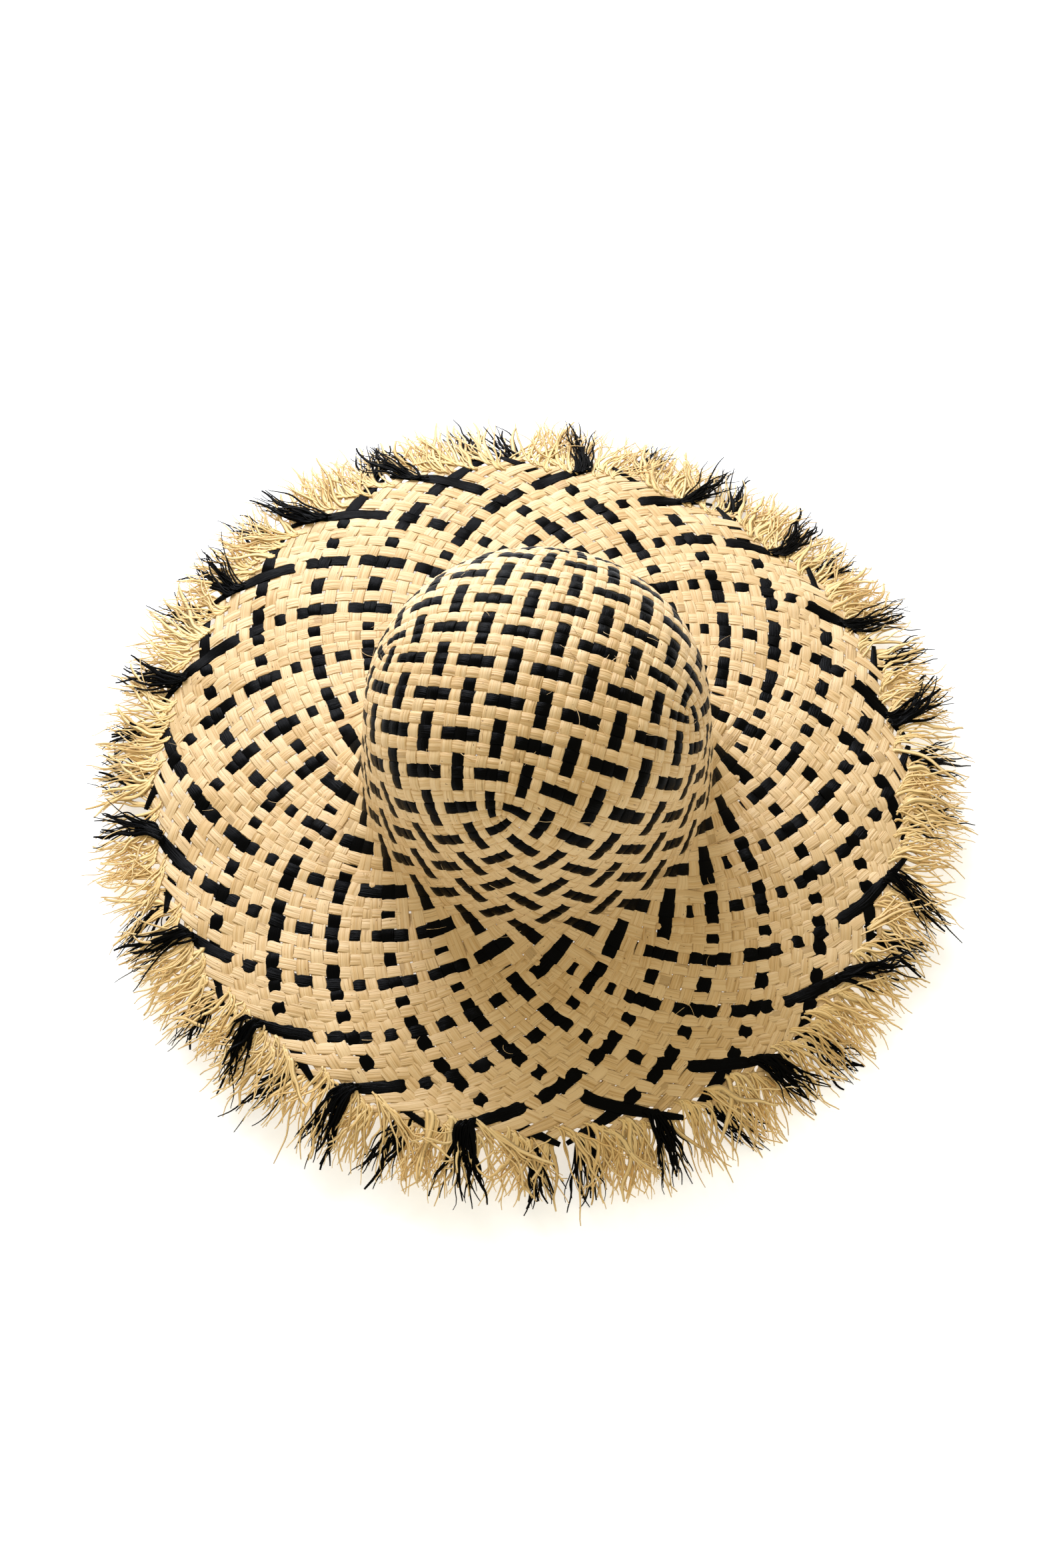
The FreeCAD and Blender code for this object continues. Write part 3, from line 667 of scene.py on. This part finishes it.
# ----------------------------------------------------------------------------------- sweatband
# A ribbed grosgrain ribbon inside the foot of the crown, which keeps the hat on the head. It is closed
# to a ring and sewn to the weave by one row of stitches near its upper edge.
BAND_RADIUS, BAND_THICKNESS, BAND_COLUMNS, BAND_ROWS = 90.4, 0.8, 240, 10
BAND_FULLNESS = 1.35
RIBS_PER_METRE, STITCH_PITCH, STITCH_SHARE = 230.0, 0.0028, 0.62
SEAM_HEIGHT, SEAM_WIDTH = 0.0125, 0.00035
# Rib colours: the valley colour is painted shade and the crest colour a painted highlight on the ribs'
# relief; the thread colour is the stitches' own.
RIB_VALLEY_PAINTED_SHADE, RIB_CREST_PAINTED_HIGHLIGHT, THREAD_COLOUR = (0.55, 0.43, 0.27), (0.74, 0.62, 0.43), (0.90, 0.84, 0.70, 1.0)

# The ring is a rounded section turned about the crown's axis, a cut-off circle squeezed flat.
band_low, band_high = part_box("sweatband")
middle, half_height = (band_low.z + band_high.z) * 500, (band_high.z - band_low.z) * 500
corners = 2 * BAND_ROWS
around = np.linspace(0, 2 * math.pi, BAND_COLUMNS, endpoint=False)
profile = np.linspace(0, 2 * math.pi, corners, endpoint=False)
upward = half_height * np.clip(BAND_FULLNESS * np.cos(profile), -1, 1)
outward = BAND_THICKNESS / 2 * np.clip(BAND_FULLNESS * np.sin(profile), -1, 1)
radius = BAND_RADIUS + BAND_THICKNESS / 2 + outward[None, :]
points = np.stack([radius * np.cos(around)[:, None] - RIM_SHIFT[0],
                   radius * np.sin(around)[:, None] - RIM_SHIFT[1],
                   np.broadcast_to(middle + upward, (BAND_COLUMNS, corners))], axis=-1)
grid = np.arange(BAND_COLUMNS * corners).reshape(BAND_COLUMNS, -1)
faces = np.stack([grid, np.roll(grid, -1, 1), np.roll(np.roll(grid, -1, 0), -1, 1),
                  np.roll(grid, -1, 0)], axis=-1).reshape(-1, 4)
band_mesh = bpy.data.meshes.new("sweatband_ribbon")
band_mesh.from_pydata((points / 1000).reshape(-1, 3).tolist(), [], faces.tolist())
band_mesh.polygons.foreach_set("use_smooth", np.ones(len(faces), bool))
band = bpy.data.objects.new("sweatband_ribbon", band_mesh)
bpy.context.scene.collection.objects.link(band)

# Fibre coordinates of each face's four corners: the length round the ring and the height.
column_width = 2 * math.pi * BAND_RADIUS / BAND_COLUMNS
length_round = column_width * (np.arange(BAND_COLUMNS)[:, None] + [0, 0, 1, 1])
heights = np.stack([upward, np.roll(upward, -1), np.roll(upward, -1), upward], axis=-1)
band_uv = np.stack(np.broadcast_arrays(length_round[:, None], heights[None]), axis=-1)
band_mesh.uv_layers.new(name="fibre").data.foreach_set("uv", (band_uv / 1000).ravel())

grosgrain = Nodes("sweatband_ribbon")
place = grosgrain.add("ShaderNodeUVMap", {"uv_map": "fibre"}).outputs["UV"]
ribs = grosgrain.add("ShaderNodeTexWave", {"bands_direction": "X"}, Vector=place,
                     Scale=RIBS_PER_METRE).outputs["Fac"]
parts = grosgrain.add("ShaderNodeSeparateXYZ", Vector=place).outputs
in_dash = grosgrain.maths("LESS_THAN", grosgrain.maths("PINGPONG", parts["X"], STITCH_PITCH),
                          STITCH_SHARE * STITCH_PITCH)
in_seam = grosgrain.maths("COMPARE", parts["Y"], SEAM_HEIGHT, SEAM_WIDTH)
# Painted shade and highlight: darker in the rib valleys and lighter on the crests, following the same
# waves as the bump.
shade = grosgrain.ramp(ribs, (0.2, RIB_VALLEY_PAINTED_SHADE), (0.8, RIB_CREST_PAINTED_HIGHLIGHT))
shade = grosgrain.mix(grosgrain.maths("MULTIPLY", in_dash, in_seam), shade, THREAD_COLOUR)
band_mesh.materials.append(grosgrain.finish(shade, ribs, 0.0003, 0.8, Roughness=0.8))
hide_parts("sweatband")
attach(band, "root")

# ------------------------------------------------------------------------------ floor and light
# A white table top under an even white room, with one large soft lamp high behind the hat.
FLOOR_REACH, FLOOR_COLOUR, FLOOR_GLOW = 40, (0.88, 0.93, 1.0, 1.0), 0.5
ROOM_COLOUR, ROOM_STRENGTH = (1.0, 0.88, 0.62, 1.0), 0.60
LAMP_PLACE, LAMP_AIM = (-0.28, 0.85, 0.66), (0.0, 0.0, 0.08)
LAMP_SIZE, LAMP_POWER, LAMP_COLOUR = 0.7, 15.2, (0.96, 0.99, 1.11)

floor_corners = [(x * FLOOR_REACH, y * FLOOR_REACH, 0) for x, y in ((-1, -1), (1, -1), (1, 1), (-1, 1))]
floor_mesh = bpy.data.meshes.new("floor")
floor_mesh.from_pydata(floor_corners, [], [(0, 1, 2, 3)])
floor = bpy.data.objects.new("floor", floor_mesh)
bpy.context.scene.collection.objects.link(floor)
paint = Nodes("white_table")
floor_mesh.materials.append(paint.material)
paint.put(paint.shader, "Base Color", FLOOR_COLOUR)
paint.put(paint.shader, "Roughness", 0.9)
paint.put(paint.shader, "Emission Color", (1.0, 1.0, 1.0, 1.0))
paint.put(paint.shader, "Emission Strength", FLOOR_GLOW)

world = bpy.data.worlds.new("white_room")
bpy.context.scene.world = world
world.use_nodes = True
room = world.node_tree.nodes["Background"].inputs
room["Color"].default_value, room["Strength"].default_value = ROOM_COLOUR, ROOM_STRENGTH

light = bpy.data.lights.new("key_lamp", "AREA")
light.size, light.energy, light.color = LAMP_SIZE, LAMP_POWER, LAMP_COLOUR
holder = bpy.data.objects.new("key_lamp", light)
bpy.context.scene.collection.objects.link(holder)
holder.location = LAMP_PLACE
ray = np.array(LAMP_AIM) - np.array(LAMP_PLACE)
holder.rotation_euler = (math.acos(-ray[2] / np.linalg.norm(ray)), 0.0,
                         math.atan2(ray[1], ray[0]) - math.pi / 2)
bpy.context.scene.view_settings.view_transform = "Standard"
